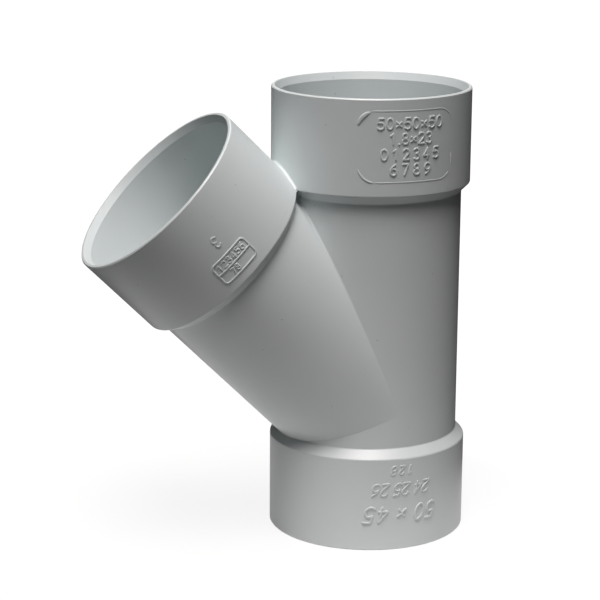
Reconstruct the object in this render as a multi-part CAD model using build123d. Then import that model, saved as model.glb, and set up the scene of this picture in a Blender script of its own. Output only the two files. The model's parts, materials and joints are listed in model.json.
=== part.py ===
from build123d import *
from math import radians, tan
import os

# Lateral wye for 50 mm drain pipe, moulded in one piece with a plain socket on each of its three legs.
# The lower rim lies in the plane z = 0, the run stands along Z, and the branch leans towards -X.
# All sizes are in millimetres.

# Pipe and sockets
pipe_diameter = 50.0
socket_clearance = 0.2      # what the socket bore adds to the pipe's diameter
socket_depth = 23.0         # from the rim to the stop that the pipe's end meets
stop_step = 2.3             # radial width of the stop, and of the shoulder outside it
stop_backing = 2.5          # from the stop to the outer corner of the shoulder
wall = 1.8                  # the same all over, so that the moulding cools evenly

# Crossing of the legs
branch_angle = 45.0         # between the branch and the upper leg
crotch_overlap = 1.9        # how far the two shoulders above the crotch run past it towards the crossing
heel_overlap = 1.1          # how far the lower shoulder runs past the heel under the branch

# Edges
shoulder_angle = 45.0       # between the shoulder and the leg's axis
shoulder_corner_round = 0.6
shoulder_root_round = 0.4
rim_bevel = 0.3             # on the rim's outer edge, at 45 degrees
rim_land = 0.6              # flat width of the rim, between its bevel and the flare
flare_depth = 2.0           # the mouth opens over this depth to guide the pipe in

# Radii of the sockets and of the body between them
socket_bore_radius = (pipe_diameter + socket_clearance) / 2
socket_radius = socket_bore_radius + wall
mouth_radius = socket_radius - rim_bevel - rim_land
waterway_radius = socket_bore_radius - stop_step
body_radius = waterway_radius + wall

# Reach of each leg, from the point where the three axes meet to the leg's rim
shoulder_length = stop_step / tan(radians(shoulder_angle))
socket_skirt = socket_depth + stop_backing
crotch_distance = body_radius / tan(radians(branch_angle / 2))
heel_distance = body_radius * tan(radians(branch_angle / 2))
long_reach = crotch_distance - crotch_overlap + shoulder_length + socket_skirt
lower_reach = heel_distance - heel_overlap + shoulder_length + socket_skirt


def turned(outline_points, rounds=()):
    """A solid turned about Z from points of (radius, height), with the corners in rounds made round."""
    outline = make_face(Polyline([(radius, 0, height) for radius, height in outline_points], close=True))
    for (radius, height), size in rounds:
        corner = outline.vertices().sort_by_distance((radius, 0, height))[0]
        outline = fillet(corner, size)
    return revolve(outline, Axis.Z)


def leg_skin(reach):
    """The outer form of one leg, from the crossing of the axes up to its rim at z = reach."""
    corner_height = reach - socket_skirt
    root = (body_radius, corner_height - shoulder_length)
    corner = (socket_radius, corner_height)
    outline_points = [
        (0, 0),
        (body_radius, 0),
        root,
        corner,
        (socket_radius, reach - rim_bevel),
        (socket_radius - rim_bevel, reach),
        (0, reach),
    ]
    return turned(outline_points, [(root, shoulder_root_round), (corner, shoulder_corner_round)])


def leg_void(reach):
    """The hollow in one leg: the waterway, the pipe stop, the socket's bore and its flared mouth."""
    stop_height = reach - socket_depth
    outline_points = [
        (0, 0),
        (waterway_radius, 0),
        (waterway_radius, stop_height),
        (socket_bore_radius, stop_height),
        (socket_bore_radius, reach - flare_depth),
        (mouth_radius, reach),
        (0, reach),
    ]
    return turned(outline_points)


def three_legs(make_leg):
    """One form for the whole wye, from legs made by make_leg and turned about the crossing of the axes."""
    crossing = Pos(0, 0, lower_reach)
    lower = crossing * Rot(180, 0, 0) * make_leg(lower_reach)
    upper = crossing * make_leg(long_reach)
    branch = crossing * Rot(0, -branch_angle, 0) * make_leg(long_reach)
    return lower + upper + branch


wye_body = three_legs(leg_skin) - three_legs(leg_void)

os.makedirs("parts", exist_ok=True)
export_step(wye_body, "parts/wye_body.step")
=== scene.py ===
"""The looks of a lateral wye for drain pipe, moulded in grey plastic, on a pale floor.

Lengths are in metres, and angles in radians unless a comment says degrees.
"""

import json
from math import acos, ceil, copysign, cos, hypot, pi, radians, sin, sqrt, tan

import bpy
from mathutils import Matrix, Vector


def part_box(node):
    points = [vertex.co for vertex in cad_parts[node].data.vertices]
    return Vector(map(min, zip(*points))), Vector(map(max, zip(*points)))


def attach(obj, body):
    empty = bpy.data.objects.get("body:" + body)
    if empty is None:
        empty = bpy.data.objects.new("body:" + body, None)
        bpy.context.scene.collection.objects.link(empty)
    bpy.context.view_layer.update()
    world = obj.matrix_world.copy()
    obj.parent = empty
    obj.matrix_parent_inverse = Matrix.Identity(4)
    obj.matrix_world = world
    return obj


MM = 0.001

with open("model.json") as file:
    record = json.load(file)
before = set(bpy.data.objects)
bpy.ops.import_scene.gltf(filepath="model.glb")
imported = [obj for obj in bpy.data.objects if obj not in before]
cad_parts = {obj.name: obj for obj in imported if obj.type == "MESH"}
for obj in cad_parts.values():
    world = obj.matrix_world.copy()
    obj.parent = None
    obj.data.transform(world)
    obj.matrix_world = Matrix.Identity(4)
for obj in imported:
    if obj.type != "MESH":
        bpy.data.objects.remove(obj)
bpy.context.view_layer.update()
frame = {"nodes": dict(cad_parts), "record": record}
wye = frame["nodes"]["wye_body"]
mounts = {mount["name"]: mount for mount in frame["record"]["mounts"]}

# The wye as the frame gives it
SOCKET_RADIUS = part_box("wye_body")[1].x
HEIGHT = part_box("wye_body")[1].z
MOUTH_TO_MOUNT = HEIGHT - mounts["upper_socket"]["pos_m"][2]
BRANCH_PLACE = Vector(mounts["branch_socket"]["pos_m"])
BRANCH_AXIS = Vector(mounts["branch_socket"]["axis"]).normalized()
BRANCH_ANGLE = BRANCH_AXIS.angle(Vector((0, 0, 1)))
CROSSING = BRANCH_PLACE - BRANCH_PLACE.x / BRANCH_AXIS.x * BRANCH_AXIS

# The upper leg's skin, which the branch's mirrors
SHOULDER_STEP = 2.3 * MM        # radial width of the shoulder
SHOULDER_SLOPE = radians(45)
SOCKET_SKIRT = 25.5 * MM        # from the rim to the shoulder
BODY_RADIUS = SOCKET_RADIUS - SHOULDER_STEP
CORNER_HEIGHT = HEIGHT - CROSSING.z - SOCKET_SKIRT

# The fillet between the branch and the upper leg
FILLET_RADIUS = 0.5 * MM
FILLET_END = radians(80)        # how far round the leg it runs from the crotch, to each side
FILLET_SINK = 0.06 * MM         # how far its edges lie within the walls
FILLET_ROOT = 0.15 * MM         # how far its hidden side lies beyond the crease
FILLET_STEPS = 10               # across it
FILLET_SPACING = radians(1.5)   # along it, round the leg's axis
CORNER_STEPS = 4                # where it turns from the socket's wall to the shoulder, or to the body

# Strokes of the mould's raised marks: half the width, the height, and how far their ends taper
NUMERAL = (0.24 * MM, 0.21 * MM, 0.24 * MM)
BOLD_NUMERAL = (0.31 * MM, 0.30 * MM, 0.31 * MM)
FLAT_NUMERAL = (0.23 * MM, 0.15 * MM, 0.23 * MM)
SMALL_NUMERAL = (0.17 * MM, 0.19 * MM, 0.17 * MM)
FRAME = (0.23 * MM, 0.21 * MM, 0.23 * MM)
SEAM = (0.15 * MM, 0.06 * MM, 1.2 * MM)
PROUD_SEAM = (0.24 * MM, 0.13 * MM, 1.2 * MM)
HEAVY_SEAM = (0.52 * MM, 0.28 * MM, 2.2 * MM)
MARK_SINK = 0.05 * MM       # how far a mark's underside lies within the wall
RING_SPACING = 0.15 * MM    # between the cross-sections along a stroke

# Light
LAMP_SOFTNESS = radians(28)     # how wide a lamp looks from the object
LAMP_COLOUR = (1.0, 0.925, 0.915)
FILL_STRENGTH = 0.39

# Floor
FLOOR_HALF = 4.0
FLOOR_TONE = 0.6                # the share of light that it sends back to the object
FLOOR_GLOW = 0.88               # the share of plain white in what the camera sees of it

# Dark card round the object
RING_RADIUS = 0.09
RING_CENTRE_X = -0.03
RING_HEIGHT = 0.20
RING_STEPS = 72

# Camera, fitted to the photograph
CAMERA_YAW = radians(19.279)
CAMERA_PITCH = radians(14.006)
CAMERA_ROLL = radians(0.402)
CAMERA_DISTANCE = 557.08 * MM
CAMERA_AIM = Vector((-19.888, 0, 64.278)) * MM
CAMERA_LENS = 123.28
CAMERA_SENSOR = 36.0


class SocketWall:
    """The front of one socket's outer wall, which its mould draws off towards -Y.

    A mark is placed by (right, up) from a point on the wall, where up points out of the socket's mouth.
    """

    def __init__(self, mount, below_mouth):
        axis = Vector(mounts[mount]["axis"]).normalized()
        mouth = Vector(mounts[mount]["pos_m"]) + MOUTH_TO_MOUNT * axis
        self.up = axis
        self.right = Vector((0, 1, 0)).cross(axis)
        self.centre = mouth - below_mouth * axis

    def place(self, right, up):
        """A point on the wall, and the wall's outward normal there."""
        depth = sqrt(SOCKET_RADIUS ** 2 - right ** 2)
        outward = right * self.right - depth * Vector((0, 1, 0))
        return self.centre + up * self.up + outward, outward.normalized()


def arc(centre_x, centre_y, radius_x, radius_y, start, end, step=10):
    """Points of an elliptic arc between two angles in degrees, both ends included."""
    steps = max(3, ceil(abs(end - start) / step))
    angles = [radians(start + (end - start) * i / steps) for i in range(steps + 1)]
    return [(centre_x + radius_x * cos(t), centre_y + radius_y * sin(t)) for t in angles]


# Strokes of each figure, in a cell 0.56 wide and 1 high with its lower left corner at (0, 0)
FIGURES = {
    "0": [arc(0.28, 0.5, 0.28, 0.5, 90, 450)],
    "1": [[(0.1, 0.78), (0.32, 1.0), (0.32, 0.0)]],
    "2": [arc(0.28, 0.72, 0.27, 0.28, 165, -38) + [(0.01, 0.0), (0.56, 0.0)]],
    "3": [arc(0.27, 0.76, 0.24, 0.24, 150, -90), arc(0.27, 0.26, 0.28, 0.26, 90, -145)],
    "4": [[(0.42, 0.0), (0.42, 1.0), (0.0, 0.28), (0.56, 0.28)]],
    "5": [[(0.52, 1.0), (0.1, 1.0), (0.06, 0.54)] + arc(0.26, 0.31, 0.3, 0.31, 128, -140)],
    "6": [arc(0.28, 0.3, 0.28, 0.3, 0, 360), [(0.46, 1.0)] + arc(0.6, 0.32, 0.6, 0.62, 125, 180)],
    "7": [[(0.02, 1.0), (0.56, 1.0), (0.2, 0.0)]],
    "8": [arc(0.28, 0.76, 0.23, 0.24, 0, 360), arc(0.28, 0.26, 0.28, 0.26, 0, 360)],
    "9": [arc(0.28, 0.7, 0.28, 0.3, 0, 360), [(0.1, 0.0)] + arc(-0.04, 0.68, 0.6, 0.62, -55, 0)],
    "x": [[(0.06, 0.2), (0.5, 0.66)], [(0.06, 0.66), (0.5, 0.2)]],
    ".": [[(0.04, 0.0), (0.1, 0.0)]],
    " ": [],
}
FIGURE_WIDTH = 0.56
FIGURE_ADVANCE = 0.8
ADVANCE = {".": 0.36, " ": 0.4}     # of the narrow ones


def figures(text, centre, height, slant=0.0, spacing=1.0):
    """Strokes of a row of figures centred on a point. slant is the lean of an upright stroke."""
    advances = [ADVANCE.get(name, FIGURE_ADVANCE) * spacing for name in text]
    x = (FIGURE_ADVANCE * spacing - FIGURE_WIDTH - sum(advances)) / 2
    strokes = []
    for name, advance in zip(text, advances):
        for stroke in FIGURES[name]:
            strokes.append([
                (centre[0] + height * (x + right + slant * (up - 0.5)), centre[1] + height * (up - 0.5))
                for right, up in stroke
            ])
        x += advance
    return strokes


def turned(strokes, centre, angle):
    """The strokes turned about a point by an angle in degrees."""
    centre_x, centre_y = centre
    c, s = cos(radians(angle)), sin(radians(angle))
    return [
        [
            (
                centre_x + (x - centre_x) * c - (y - centre_y) * s,
                centre_y + (x - centre_x) * s + (y - centre_y) * c,
            )
            for x, y in stroke
        ]
        for stroke in strokes
    ]


def resampled(points):
    """The same line, with points at about equal spacing."""
    result = [points[0]]
    for (ax, ay), (bx, by) in zip(points, points[1:]):
        count = max(1, round(hypot(bx - ax, by - ay) / RING_SPACING))
        result += [(ax + (bx - ax) * i / count, ay + (by - ay) * i / count) for i in range(1, count + 1)]
    return result


# The cross-section of a stroke: a ridge with steep sides and a nearly flat top, of unit size
PROFILE_STEPS = 10
SIDE_POWER = 0.62
CREST_POWER = 0.55
RIDGE_PROFILE = []
for step in range(PROFILE_STEPS + 1):
    across, crest = cos(pi * step / PROFILE_STEPS), sin(pi * step / PROFILE_STEPS)
    RIDGE_PROFILE.append((
        copysign(abs(across) ** SIDE_POWER, across),
        crest ** CREST_POWER if step % PROFILE_STEPS else 0.0,
    ))
CAP_ANGLES = (30, 55, 75, 88)       # degrees round a stroke's end, where it has cross-sections
END_MARGIN = 0.004 * MM             # keeps the last cross-section from shrinking to a point


def ridge_rings(stroke, wall, half_width, relief, taper):
    """Cross-sections of a ridge along a stroke, and whether it closes on itself."""
    closed = hypot(stroke[0][0] - stroke[-1][0], stroke[0][1] - stroke[-1][1]) < RING_SPACING / 10
    points = resampled(stroke)
    if closed:
        points = points[:-1]
    placed = [wall.place(*point) for point in points]
    stations = []
    for i, (position, normal) in enumerate(placed):
        if closed:
            ahead, behind = placed[(i + 1) % len(placed)][0], placed[i - 1][0]
        else:
            ahead, behind = placed[min(i + 1, len(placed) - 1)][0], placed[max(i - 1, 0)][0]
        stations.append((position, normal, (ahead - behind).normalized()))
    if not closed:
        first, last = stations[0], stations[-1]
        reach = [half_width * sin(radians(angle)) for angle in CAP_ANGLES]
        stations = [(first[0] - first[2] * r, first[1], first[2]) for r in reversed(reach)] + stations
        stations += [(last[0] + last[2] * r, last[1], last[2]) for r in reach]
    total = sum((b[0] - a[0]).length for a, b in zip(stations, stations[1:]))
    rings, run, before = [], 0.0, stations[0][0]
    for position, normal, along in stations:
        run += (position - before).length
        before = position
        to_end = min(run, total - run) + END_MARGIN
        size = 1.0 if closed or to_end > taper else sqrt(1 - (1 - to_end / taper) ** 2)
        side = normal.cross(along) * half_width * size
        crest = normal * relief * size
        ring = [position + side * x + crest * y for x, y in RIDGE_PROFILE]
        ring += [position - side - normal * MARK_SINK, position + side - normal * MARK_SINK]
        rings.append(ring)
    return rings, closed


def add_form(rings, closed, vertices, faces):
    """Adds the closed form that runs through a list of cross-sections."""
    start, size = len(vertices), len(rings[0])
    vertices += [vertex for ring in rings for vertex in ring]
    for i in range(len(rings) if closed else len(rings) - 1):
        here, there = start + i * size, start + (i + 1) % len(rings) * size
        for j in range(size):
            after = (j + 1) % size
            faces.append((here + j, here + after, there + after, there + j))
    if not closed:
        faces.append(tuple(start + j for j in reversed(range(size))))
        faces.append(tuple(start + (len(rings) - 1) * size + j for j in range(size)))


def moulded_piece(name, vertices, faces):
    """A smooth piece of the moulding."""
    mesh = bpy.data.meshes.new(name)
    mesh.from_pydata(vertices, [], faces)
    mesh.validate()
    mesh.polygons.foreach_set("use_smooth", [True] * len(mesh.polygons))
    mesh.materials.append(plastic)
    piece = bpy.data.objects.new(name, mesh)
    bpy.context.scene.collection.objects.link(piece)
    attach(piece, "root")
    return piece


def raised_mark(name, wall, groups):
    """One piece of raised strokes on a socket's wall. groups holds pairs of strokes and their kind."""
    vertices, faces = [], []
    for strokes, kind in groups:
        for stroke in strokes:
            add_form(*ridge_rings(stroke, wall, *kind), vertices, faces)
    moulded_piece(name, vertices, faces)


def ball_rests():
    """Where a ball of the fillet's radius rests between the legs, from the crotch to the fillet's end.

    Each rest is the distance of the ball's centre from the upper leg's axis, its height over the
    crossing, and how far down the leg's skin faces where the ball touches it.
    """
    rise = 1 / tan(BRANCH_ANGLE / 2)
    on_socket = SOCKET_RADIUS + FILLET_RADIUS
    on_body = BODY_RADIUS + FILLET_RADIUS
    shoulder_run = SHOULDER_STEP - FILLET_RADIUS * (1 - cos(SHOULDER_SLOPE))
    shoulder_fall = shoulder_run / tan(SHOULDER_SLOPE)
    root_height = CORNER_HEIGHT - FILLET_RADIUS * sin(SHOULDER_SLOPE) - shoulder_fall

    def round_wall(radius, start, end):
        steps = ceil((end - start) / FILLET_SPACING)
        angles = [start + (end - start) * i / steps for i in range(steps + 1)]
        return [(radius, radius * cos(angle) * rise, 0.0) for angle in angles]

    rests = round_wall(on_socket, 0.0, acos(CORNER_HEIGHT / rise / on_socket))
    for i in range(1, CORNER_STEPS + 1):
        face = SHOULDER_SLOPE * i / CORNER_STEPS
        radius = SOCKET_RADIUS + FILLET_RADIUS * cos(face)
        rests.append((radius, CORNER_HEIGHT - FILLET_RADIUS * sin(face), face))
    for i in range(CORNER_STEPS, -1, -1):
        rests.append((on_body, root_height, SHOULDER_SLOPE * i / CORNER_STEPS))
    return rests + round_wall(on_body, acos(root_height / rise / on_body), FILLET_END)


def crotch_fillet():
    """The fillet in the crease between the branch and the upper leg, as a rolling ball makes it."""
    mirror = Vector((cos(BRANCH_ANGLE / 2), 0, sin(BRANCH_ANGLE / 2)))
    rests = ball_rests()
    both_sides = [(1, rest) for rest in rests[:0:-1]] + [(-1, rest) for rest in rests]
    rings, normals = [], []
    for side, (radius, height, face) in both_sides:
        angle = acos(height * tan(BRANCH_ANGLE / 2) / radius)
        outward = Vector((-cos(angle), side * sin(angle), 0))
        centre = CROSSING + radius * outward + Vector((0, 0, height))
        to_run = Vector((0, 0, sin(face))) - cos(face) * outward
        to_branch = to_run.reflect(mirror)
        wedge = to_run.angle(to_branch)
        spokes = []
        for i in range(FILLET_STEPS + 1):
            share = i / FILLET_STEPS
            spoke = sin(wedge * (1 - share)) * to_run + sin(wedge * share) * to_branch
            spokes.append(spoke / sin(wedge))
        middle = (to_run + to_branch).normalized()
        ring = [centre + FILLET_RADIUS * spoke for spoke in spokes]
        ring += [
            centre + (FILLET_RADIUS + FILLET_SINK) * to_branch,
            centre + (FILLET_RADIUS / cos(wedge / 2) + FILLET_ROOT) * middle,
            centre + (FILLET_RADIUS + FILLET_SINK) * to_run,
        ]
        rings.append(ring)
        normals += [-spoke for spoke in spokes] + [-to_branch, middle, -to_run]
    vertices, faces = [], []
    add_form(rings, False, vertices, faces)
    fillet = moulded_piece("crotch_fillet", vertices, faces)
    fillet.data.normals_split_custom_set_from_vertices(normals)


def insert_seam(centre_x, half_width, half_height, corner):
    """The seam round the mould's lettering insert, faint where the insert is flush.

    It comes as (faint, proud, heavy) strokes.
    """
    x, y = half_width - corner, half_height - corner
    left, right = centre_x - x, centre_x + x
    top = [(left - 0.2 * corner, half_height), (right, half_height)]
    faint = [
        top + arc(right, y, corner, corner, 85, 5, 4),
        arc(right, -y, corner, corner, -38, -90, 4) + [(left, -half_height)],
    ]
    proud = [
        [(right + corner, -0.31 * half_height), (right + corner, -0.62 * half_height)],
        arc(left, -y, corner, corner, -100, -166, 4),
    ]
    heavy = [arc(left, y, corner, corner, 166, 116, 4)]
    return faint, proud, heavy


def number_frame(centre, half_width, half_height, corner):
    """A frame with round corners and a bar across its middle."""
    centre_x, centre_y = centre
    x, y = half_width - corner, half_height - corner
    outline = arc(centre_x + x, centre_y + y, corner, corner, 90, 0)
    outline += arc(centre_x + x, centre_y - y, corner, corner, 0, -90)
    outline += arc(centre_x - x, centre_y - y, corner, corner, 270, 180)
    outline += arc(centre_x - x, centre_y + y, corner, corner, 180, 90)
    bar = [(centre_x - half_width, centre_y), (centre_x + half_width, centre_y)]
    return [outline + outline[:1], bar]


def node(tree, kind, **inputs):
    """A new shader node with some of its inputs set."""
    made = tree.nodes.new(kind)
    for name, value in inputs.items():
        made.inputs[name.replace("_", " ")].default_value = value
    return made


def moulded_plastic():
    """Grey rigid plastic as it leaves the mould: satin gloss, faint flow clouds and a few specks."""
    material = bpy.data.materials.new("moulded_grey_plastic")
    material.use_nodes = True
    tree = material.node_tree
    tree.nodes.clear()
    link = tree.links.new
    output = node(tree, "ShaderNodeOutputMaterial")
    shader = node(tree, "ShaderNodeBsdfPrincipled", Roughness=0.38, IOR=1.53)
    link(shader.outputs["BSDF"], output.inputs["Surface"])
    place = node(tree, "ShaderNodeTexCoord")

    clouds = node(tree, "ShaderNodeTexNoise", Scale=35.0, Detail=3.0, Roughness=0.55)
    link(place.outputs["Object"], clouds.inputs["Vector"])
    shade = node(tree, "ShaderNodeValToRGB")
    shade.color_ramp.elements[0].position = 0.3
    shade.color_ramp.elements[0].color = (0.615, 0.676, 0.680, 1)
    shade.color_ramp.elements[1].position = 0.7
    shade.color_ramp.elements[1].color = (0.640, 0.701, 0.705, 1)
    link(clouds.outputs["Fac"], shade.inputs["Fac"])

    dust = node(tree, "ShaderNodeTexVoronoi", Scale=160.0, Randomness=1.0)
    link(place.outputs["Object"], dust.inputs["Vector"])
    speck = node(tree, "ShaderNodeValToRGB")
    speck.color_ramp.elements[0].position = 0.0
    speck.color_ramp.elements[0].color = (0.55, 0.55, 0.55, 1)
    speck.color_ramp.elements[1].position = 0.045
    speck.color_ramp.elements[1].color = (1, 1, 1, 1)
    link(dust.outputs["Distance"], speck.inputs["Fac"])
    speckled = node(tree, "ShaderNodeMix")
    speckled.data_type = "RGBA"
    speckled.blend_type = "MULTIPLY"
    speckled.inputs[0].default_value = 1.0
    link(shade.outputs["Color"], speckled.inputs[6])
    link(speck.outputs["Color"], speckled.inputs[7])
    link(speckled.outputs[2], shader.inputs["Base Color"])

    smears = node(tree, "ShaderNodeTexNoise", Scale=90.0, Detail=4.0, Roughness=0.6)
    link(place.outputs["Object"], smears.inputs["Vector"])
    gloss = node(tree, "ShaderNodeMapRange")
    gloss.inputs["To Min"].default_value = 0.36
    gloss.inputs["To Max"].default_value = 0.46
    link(smears.outputs["Fac"], gloss.inputs["Value"])
    link(gloss.outputs["Result"], shader.inputs["Roughness"])

    skin = node(tree, "ShaderNodeTexNoise", Scale=1400.0, Detail=3.0, Roughness=0.6)
    link(place.outputs["Object"], skin.inputs["Vector"])
    bump = node(tree, "ShaderNodeBump", Strength=0.08, Distance=0.00004)
    link(skin.outputs["Fac"], bump.inputs["Height"])
    link(bump.outputs["Normal"], shader.inputs["Normal"])
    return material


def raised_marks():
    """The marks that the mould leaves on the sockets: a seam and plain numbers, some in a frame."""
    upper = SocketWall("upper_socket", below_mouth=12.4 * MM)
    seam = insert_seam(centre_x=0.3 * MM, half_width=13.1 * MM, half_height=9.3 * MM, corner=4.3 * MM)
    rows = []
    for text, up, spacing in (
        ("50x50x50", 6.0 * MM, 1.04),
        ("1.8x23", 2.05 * MM, 1.02),
        ("0 1 2 3 4 5", -2.0 * MM, 0.86),
        ("6 7 8 9", -6.0 * MM, 0.95),
    ):
        rows += figures(text, (0.8 * MM, up), height=2.8 * MM, spacing=spacing)
    groups = [*zip(seam, (SEAM, PROUD_SEAM, HEAVY_SEAM)), (rows, NUMERAL)]
    raised_mark("upper_mark", upper, groups)

    branch = SocketWall("branch_socket", below_mouth=19.3 * MM)
    frame_x, frame_y = -0.6 * MM, -0.4 * MM
    lines = number_frame((frame_x, frame_y), half_width=5.6 * MM, half_height=3.1 * MM, corner=1.1 * MM)
    numbers = figures("123456", (frame_x, frame_y + 1.5 * MM), height=1.8 * MM, spacing=1.1)
    numbers += figures("78", (frame_x - 1.2 * MM, frame_y - 1.55 * MM), height=1.7 * MM, spacing=1.1)
    cavity_place = (-0.5 * MM, 6.8 * MM)
    cavity = turned(figures("3", cavity_place, height=2.9 * MM), cavity_place, 180)
    groups = [(lines, FRAME), (numbers, SMALL_NUMERAL), (cavity, FLAT_NUMERAL)]
    raised_mark("branch_mark", branch, groups)

    lower = SocketWall("lower_socket", below_mouth=10.0 * MM)
    large = figures("50 x 45", (0.0, 0.0), height=4.3 * MM, slant=0.25, spacing=1.02)
    row = figures("24 25 26", (0.0, -7.0 * MM), height=3.3 * MM, slant=0.25, spacing=0.9)
    small = figures("128", (0.0, -12.3 * MM), height=2.4 * MM, slant=0.25, spacing=1.2)
    groups = [(large, BOLD_NUMERAL), (row, NUMERAL), (small, FLAT_NUMERAL)]
    raised_mark("lower_mark", lower, groups)


def seen_directly(tree):
    """A value that is 1 for rays from the camera, gloss or glass, and 0 for others."""
    path = node(tree, "ShaderNodeLightPath")
    total = path.outputs["Is Camera Ray"]
    for ray in ("Is Glossy Ray", "Is Transmission Ray"):
        either = node(tree, "ShaderNodeMath")
        either.operation = "MAXIMUM"
        tree.links.new(total, either.inputs[0])
        tree.links.new(path.outputs[ray], either.inputs[1])
        total = either.outputs[0]
    return total


def pale_floor():
    """A plain pale floor that keeps the shadow."""
    corners = [(x * FLOOR_HALF, y * FLOOR_HALF, 0) for x, y in ((-1, -1), (1, -1), (1, 1), (-1, 1))]
    mesh = bpy.data.meshes.new("floor")
    mesh.from_pydata(corners, [], [(0, 1, 2, 3)])
    floor = bpy.data.objects.new("floor", mesh)
    bpy.context.scene.collection.objects.link(floor)
    material = bpy.data.materials.new("pale_floor")
    material.use_nodes = True
    tree = material.node_tree
    tree.nodes.clear()
    link = tree.links.new
    output = node(tree, "ShaderNodeOutputMaterial")
    mix = node(tree, "ShaderNodeMixShader")
    matt = node(tree, "ShaderNodeBsdfDiffuse")
    white = node(tree, "ShaderNodeEmission", Color=(1, 1, 1, 1), Strength=1.0)
    share = node(tree, "ShaderNodeMath")
    share.operation = "MULTIPLY"
    share.inputs[1].default_value = FLOOR_GLOW
    shade = node(tree, "ShaderNodeMapRange")
    shade.inputs["To Min"].default_value = FLOOR_TONE
    shade.inputs["To Max"].default_value = 1.0
    seen = seen_directly(tree)
    link(seen, shade.inputs["Value"])
    link(shade.outputs["Result"], matt.inputs["Color"])
    link(seen, share.inputs[0])
    link(share.outputs[0], mix.inputs["Fac"])
    link(matt.outputs["BSDF"], mix.inputs[1])
    link(white.outputs["Emission"], mix.inputs[2])
    link(mix.outputs["Shader"], output.inputs["Surface"])
    floor.data.materials.append(material)


def dark_ring():
    """A ring of dark card round the object, which keeps the far floor's light and reflection off it.

    The camera doesn't see it, and it casts no shadow.
    """
    vertices, faces = [], []
    for i in range(RING_STEPS):
        x = RING_CENTRE_X + RING_RADIUS * cos(2 * pi * i / RING_STEPS)
        y = RING_RADIUS * sin(2 * pi * i / RING_STEPS)
        vertices += [(x, y, 0), (x, y, RING_HEIGHT)]
        here, there = 2 * i, 2 * ((i + 1) % RING_STEPS)
        faces.append((here, here + 1, there + 1, there))
    mesh = bpy.data.meshes.new("dark_ring")
    mesh.from_pydata(vertices, [], faces)
    ring = bpy.data.objects.new("dark_ring", mesh)
    bpy.context.scene.collection.objects.link(ring)
    material = bpy.data.materials.new("dark_card")
    material.use_nodes = True
    tree = material.node_tree
    tree.nodes.clear()
    output = node(tree, "ShaderNodeOutputMaterial")
    card = node(tree, "ShaderNodeBsdfDiffuse", Color=(0.03, 0.03, 0.03, 1))
    tree.links.new(card.outputs["BSDF"], output.inputs["Surface"])
    mesh.materials.append(material)
    ring.visible_camera = False
    ring.visible_shadow = False


def soft_world():
    """Even light from all round, with a white background for the camera."""
    world = bpy.data.worlds.new("studio")
    bpy.context.scene.world = world
    world.use_nodes = True
    tree = world.node_tree
    tree.nodes.clear()
    link = tree.links.new
    output = node(tree, "ShaderNodeOutputWorld")
    mix = node(tree, "ShaderNodeMixShader")
    light = node(tree, "ShaderNodeBackground", Color=(1, 1, 1, 1), Strength=FILL_STRENGTH)
    seen = node(tree, "ShaderNodeBackground", Color=(1, 1, 1, 1), Strength=1.0)
    link(seen_directly(tree), mix.inputs["Fac"])
    link(light.outputs["Background"], mix.inputs[1])
    link(seen.outputs["Background"], mix.inputs[2])
    link(mix.outputs["Shader"], output.inputs["Surface"])


def soft_lamp(name, azimuth, elevation, strength):
    """A far lamp behind a large diffuser.

    Its azimuth is counted in degrees from where the camera stands, towards the camera's right.
    """
    lamp = bpy.data.lights.new(name, "SUN")
    lamp.energy = strength
    lamp.angle = LAMP_SOFTNESS
    lamp.color = LAMP_COLOUR
    light = bpy.data.objects.new(name, lamp)
    heading = CAMERA_YAW - radians(azimuth)
    level = Vector((-sin(heading), -cos(heading), 0))
    to_light = cos(radians(elevation)) * level + sin(radians(elevation)) * Vector((0, 0, 1))
    light.rotation_euler = (-to_light).to_track_quat("-Z", "Y").to_euler()
    bpy.context.scene.collection.objects.link(light)


def photograph_camera():
    """The camera that the photograph was taken with."""
    forward = Vector((
        sin(CAMERA_YAW) * cos(CAMERA_PITCH),
        cos(CAMERA_YAW) * cos(CAMERA_PITCH),
        -sin(CAMERA_PITCH),
    ))
    level_right = Vector((cos(CAMERA_YAW), -sin(CAMERA_YAW), 0))
    level_up = level_right.cross(forward)
    right = cos(CAMERA_ROLL) * level_right + sin(CAMERA_ROLL) * level_up
    up = right.cross(forward)
    lens = bpy.data.cameras.new("camera")
    lens.lens = CAMERA_LENS
    lens.sensor_width = CAMERA_SENSOR
    lens.sensor_fit = "HORIZONTAL"
    camera = bpy.data.objects.new("camera", lens)
    place = Matrix.Translation(CAMERA_AIM - CAMERA_DISTANCE * forward)
    camera.matrix_world = place @ Matrix((right, up, -forward)).transposed().to_4x4()
    bpy.context.scene.collection.objects.link(camera)
    bpy.context.scene.camera = camera


plastic = moulded_plastic()
wye.data.materials.clear()
wye.data.materials.append(plastic)
crotch_fillet()
raised_marks()
pale_floor()
dark_ring()
soft_world()
soft_lamp("key_light", azimuth=0, elevation=66, strength=1.87)
soft_lamp("top_light", azimuth=-20, elevation=77, strength=1.7)
soft_lamp("front_light", azimuth=5, elevation=12, strength=0.17)
soft_lamp("back_light", azimuth=177, elevation=30, strength=0.65)
photograph_camera()
bpy.context.scene.view_settings.view_transform = "Standard"
